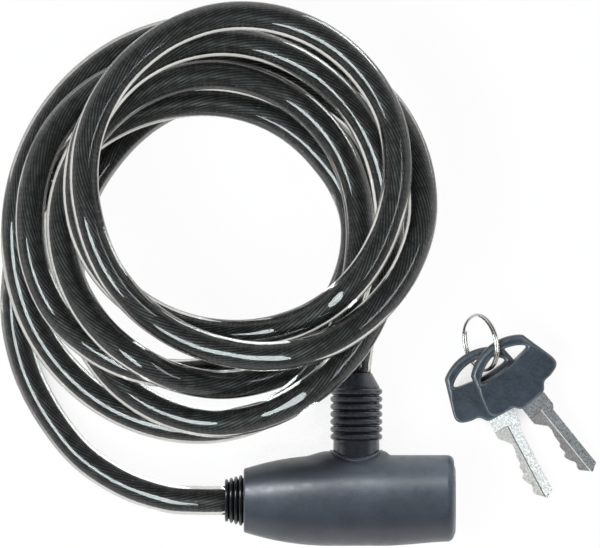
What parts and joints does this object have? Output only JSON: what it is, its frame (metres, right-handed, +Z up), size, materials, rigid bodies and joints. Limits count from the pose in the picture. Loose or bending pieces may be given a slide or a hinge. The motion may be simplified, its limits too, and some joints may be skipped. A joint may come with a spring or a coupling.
{
  "type": "cable lock",
  "caption": "Coiled jacketed wire cable with a barrel lock on one end, a ribbed locking plug on the other, and flat keys on a split ring.",
  "frame": {"origin": "on the floor under the middle of the lock barrel and the keys together, without the cable", "axes": "+X along the barrel towards its key end, +Y from the barrel towards the coil along the plug, +Z up"},
  "size_m": [0.1645, 0.1485, 0.0513],
  "materials": {
    "moulded_cover": "satin",
    "die_cast_zinc": "matte",
    "brass": "satin",
    "steel": "satin",
    "spring_steel": "polished",
    "nickel_silver": "satin",
    "black_rubber": "matte",
    "cable_jacket": "gloss",
    "key_plastic": "satin"
  },
  "bodies": {
    "cable": {"cable_coil": "cable_jacket", "cable_tail": "cable_jacket", "cable_lead": "cable_jacket", "cable_end_plug": "cable_jacket", "plug_grip": "black_rubber", "plug_ferrule": "steel", "plug_pin": "steel"},
    "lock_body": {"body_cover": "moulded_cover", "lock_housing": "die_cast_zinc", "socket_ring": "moulded_cover", "cylinder_shell": "brass", "cylinder_pin": "steel", "fixed_ferrule": "steel", "ferrule_pin": "steel", "cable_end_fixed": "cable_jacket", "bend_relief": "black_rubber", "latch_spring": "spring_steel"},
    "core": {"key_core": "brass", "drive_cam": "steel", "core_clip": "spring_steel", "wafer_springs": "spring_steel"},
    "tumblers": {"wafer_tumblers": "brass"},
    "latch": {"latch_plate": "steel"},
    "ring": {"split_ring": "nickel_silver"},
    "key_1": {"key_1_blade": "nickel_silver", "key_1_bow": "key_plastic"},
    "key_2": {"key_2_blade": "nickel_silver", "key_2_bow": "key_plastic"}
  },
  "joints": [
    {"name": "lock_slide", "type": "slide", "parent": "cable", "child": "lock_body", "axis": [0, -1, 0], "range_m": [0, 0.024], "deforming": ["cable_lead"]},
    {"name": "core_turn", "type": "hinge", "parent": "lock_body", "child": "core", "pos_m": [-0.015, -0.01951, 0.0125], "axis": [1, 0, 0], "range_deg": [0, 90]},
    {"name": "wafer_slide", "type": "slide", "parent": "core", "child": "tumblers", "axis": [0, 0, 1], "range_m": [0, 0.0008], "deforming": ["wafer_springs"]},
    {"name": "latch_slide", "type": "slide", "parent": "lock_body", "child": "latch", "axis": [0, 0, 1], "range_m": [0, 0.0016], "deforming": ["latch_spring"]},
    {"name": "ring_lift", "type": "slide", "parent": "cable", "child": "ring", "axis": [0, 0, 1], "range_m": [0, 0.03]},
    {"name": "key_1_swing", "type": "hinge", "parent": "ring", "child": "key_1", "pos_m": [0.0235, 0.01779, 0.009], "axis": [0, 0, 1], "range_deg": [0, 16]},
    {"name": "key_2_swing", "type": "hinge", "parent": "ring", "child": "key_2", "pos_m": [0.0205, 0.02179, 0.006], "axis": [0, 0, 1], "range_deg": [-16, 0]}
  ],
  "couplings": [
    {"joint": "latch_slide", "follows": "core_turn", "m_per_rad": 0.0010185}
  ]
}
